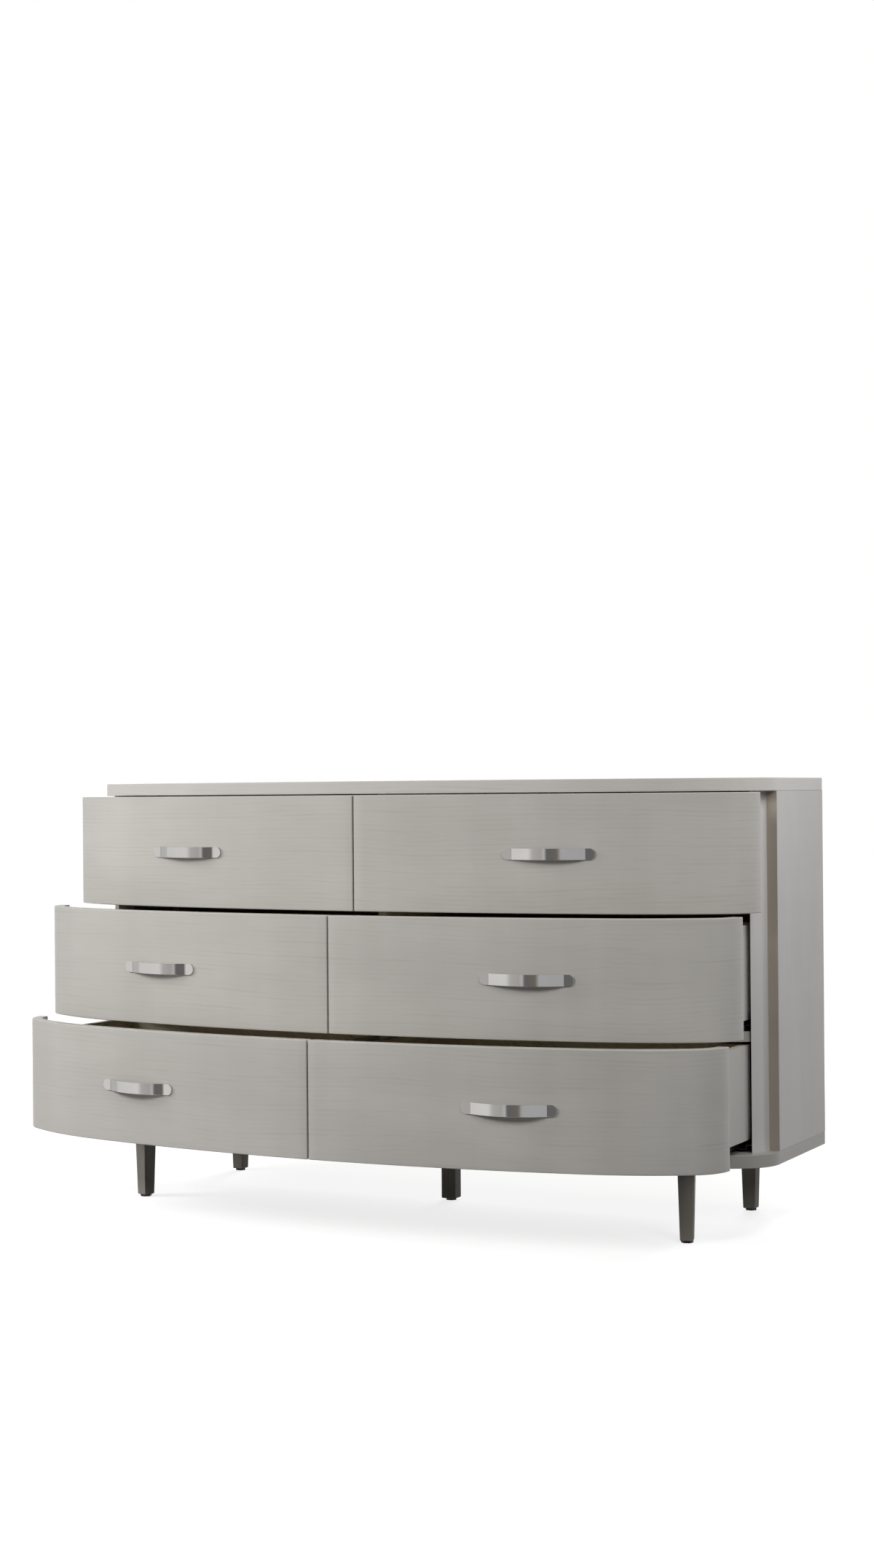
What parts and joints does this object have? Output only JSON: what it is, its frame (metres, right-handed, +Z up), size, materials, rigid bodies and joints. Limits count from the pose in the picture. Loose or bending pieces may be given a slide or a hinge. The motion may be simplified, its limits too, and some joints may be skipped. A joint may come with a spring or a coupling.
{
  "type": "bow-front dresser",
  "caption": "Bow-front dresser with stepped open drawers on undermount slides, arched strap pulls, tapered corner legs and a straight centre leg.",
  "frame": {"origin": "on the floor at the centre of the glide under the centre leg", "axes": "+X to the right seen from the front, +Y to the back, +Z up; the drawers open along -Y"},
  "size_m": [1.5, 0.7467, 0.864],
  "materials": {
    "washed_wood": "pale grey washed veneer under clear gloss lacquer",
    "leg_wood": "dark grey stain, satin lacquer",
    "inner_wood": "stained inner board, matte",
    "drawer_wood": "painted outside, stained inside, satin",
    "back_board": "thin hardboard, matte",
    "nickel": "polished nickel",
    "black_steel": "black coated bent sheet",
    "black_plastic": "black nylon"
  },
  "bodies": {
    "case": {"back_panel": "back_board", "bottom_slab": "washed_wood", "cabinet_slides": "black_steel", "centre_partition": "inner_wood", "corner_post_left": "washed_wood", "corner_post_right": "washed_wood", "divider_rail": "washed_wood", "leg_back_left": "leg_wood", "leg_back_right": "leg_wood", "leg_centre": "leg_wood", "leg_front_left": "leg_wood", "leg_front_right": "leg_wood", "rear_posts": "inner_wood", "side_panel_left": "washed_wood", "side_panel_right": "washed_wood", "top_slab": "washed_wood"},
    "bottom_left_drawer": {"bottom_left_front": "washed_wood", "bottom_left_box": "drawer_wood", "bottom_left_floor": "drawer_wood", "bottom_left_pull": "nickel", "bottom_left_drawer_slides": "black_steel"},
    "bottom_left_middle_member": {"bottom_left_middle_slides": "black_steel"},
    "bottom_right_drawer": {"bottom_right_front": "washed_wood", "bottom_right_box": "drawer_wood", "bottom_right_floor": "drawer_wood", "bottom_right_pull": "nickel", "bottom_right_drawer_slides": "black_steel"},
    "bottom_right_middle_member": {"bottom_right_middle_slides": "black_steel"},
    "middle_left_drawer": {"middle_left_front": "washed_wood", "middle_left_box": "drawer_wood", "middle_left_floor": "drawer_wood", "middle_left_pull": "nickel", "middle_left_drawer_slides": "black_steel"},
    "middle_left_middle_member": {"middle_left_middle_slides": "black_steel"},
    "middle_right_drawer": {"middle_right_front": "washed_wood", "middle_right_box": "drawer_wood", "middle_right_floor": "drawer_wood", "middle_right_pull": "nickel", "middle_right_drawer_slides": "black_steel"},
    "middle_right_middle_member": {"middle_right_middle_slides": "black_steel"},
    "top_left_drawer": {"top_left_front": "washed_wood", "top_left_box": "drawer_wood", "top_left_floor": "drawer_wood", "top_left_pull": "nickel", "top_left_drawer_slides": "black_steel"},
    "top_left_middle_member": {"top_left_middle_slides": "black_steel"},
    "top_right_drawer": {"top_right_front": "washed_wood", "top_right_box": "drawer_wood", "top_right_floor": "drawer_wood", "top_right_pull": "nickel", "top_right_drawer_slides": "black_steel"},
    "top_right_middle_member": {"top_right_middle_slides": "black_steel"},
    "glide_front_right_body": {"glide_front_right": "black_plastic"},
    "glide_front_left_body": {"glide_front_left": "black_plastic"},
    "glide_back_right_body": {"glide_back_right": "black_plastic"},
    "glide_back_left_body": {"glide_back_left": "black_plastic"},
    "glide_centre_body": {"glide_centre": "black_plastic"}
  },
  "joints": [
    {"name": "bottom_left_drawer_slide", "type": "slide", "parent": "case", "child": "bottom_left_drawer", "axis": [0, -1, 0], "range_m": [-0.26968, 0.0203]},
    {"name": "bottom_left_middle_member_slide", "type": "slide", "parent": "case", "child": "bottom_left_middle_member", "axis": [0, -1, 0], "range_m": [-0.13484, 0.01015]},
    {"name": "bottom_right_drawer_slide", "type": "slide", "parent": "case", "child": "bottom_right_drawer", "axis": [0, -1, 0], "range_m": [-0.26968, 0.0203]},
    {"name": "bottom_right_middle_member_slide", "type": "slide", "parent": "case", "child": "bottom_right_middle_member", "axis": [0, -1, 0], "range_m": [-0.13484, 0.01015]},
    {"name": "middle_left_drawer_slide", "type": "slide", "parent": "case", "child": "middle_left_drawer", "axis": [0, -1, 0], "range_m": [-0.19138, 0.09859]},
    {"name": "middle_left_middle_member_slide", "type": "slide", "parent": "case", "child": "middle_left_middle_member", "axis": [0, -1, 0], "range_m": [-0.09569, 0.0493]},
    {"name": "middle_right_drawer_slide", "type": "slide", "parent": "case", "child": "middle_right_drawer", "axis": [0, -1, 0], "range_m": [-0.19138, 0.09859]},
    {"name": "middle_right_middle_member_slide", "type": "slide", "parent": "case", "child": "middle_right_middle_member", "axis": [0, -1, 0], "range_m": [-0.09569, 0.0493]},
    {"name": "top_left_drawer_slide", "type": "slide", "parent": "case", "child": "top_left_drawer", "axis": [0, -1, 0], "range_m": [-0.08989, 0.20008]},
    {"name": "top_left_middle_member_slide", "type": "slide", "parent": "case", "child": "top_left_middle_member", "axis": [0, -1, 0], "range_m": [-0.04495, 0.10004]},
    {"name": "top_right_drawer_slide", "type": "slide", "parent": "case", "child": "top_right_drawer", "axis": [0, -1, 0], "range_m": [-0.08989, 0.20008]},
    {"name": "top_right_middle_member_slide", "type": "slide", "parent": "case", "child": "top_right_middle_member", "axis": [0, -1, 0], "range_m": [-0.04495, 0.10004]},
    {"name": "glide_front_right_turn", "type": "hinge", "parent": "case", "child": "glide_front_right_body", "pos_m": [0.604, -0.22467, 0], "axis": [0, 0, 1], "continuous": true},
    {"name": "glide_front_left_turn", "type": "hinge", "parent": "case", "child": "glide_front_left_body", "pos_m": [-0.604, -0.22467, 0], "axis": [0, 0, 1], "continuous": true},
    {"name": "glide_back_right_turn", "type": "hinge", "parent": "case", "child": "glide_back_right_body", "pos_m": [0.6, 0.1435, 0], "axis": [0, 0, 1], "continuous": true},
    {"name": "glide_back_left_turn", "type": "hinge", "parent": "case", "child": "glide_back_left_body", "pos_m": [-0.6, 0.1435, 0], "axis": [0, 0, 1], "continuous": true},
    {"name": "glide_centre_turn", "type": "hinge", "parent": "case", "child": "glide_centre_body", "pos_m": [0, 0, 0], "axis": [0, 0, 1], "continuous": true}
  ],
  "couplings": [
    {"joint": "bottom_left_middle_member_slide", "follows": "bottom_left_drawer_slide", "ratio": 0.5},
    {"joint": "bottom_right_middle_member_slide", "follows": "bottom_right_drawer_slide", "ratio": 0.5},
    {"joint": "middle_left_middle_member_slide", "follows": "middle_left_drawer_slide", "ratio": 0.5},
    {"joint": "middle_right_middle_member_slide", "follows": "middle_right_drawer_slide", "ratio": 0.5},
    {"joint": "top_left_middle_member_slide", "follows": "top_left_drawer_slide", "ratio": 0.5},
    {"joint": "top_right_middle_member_slide", "follows": "top_right_drawer_slide", "ratio": 0.5}
  ]
}
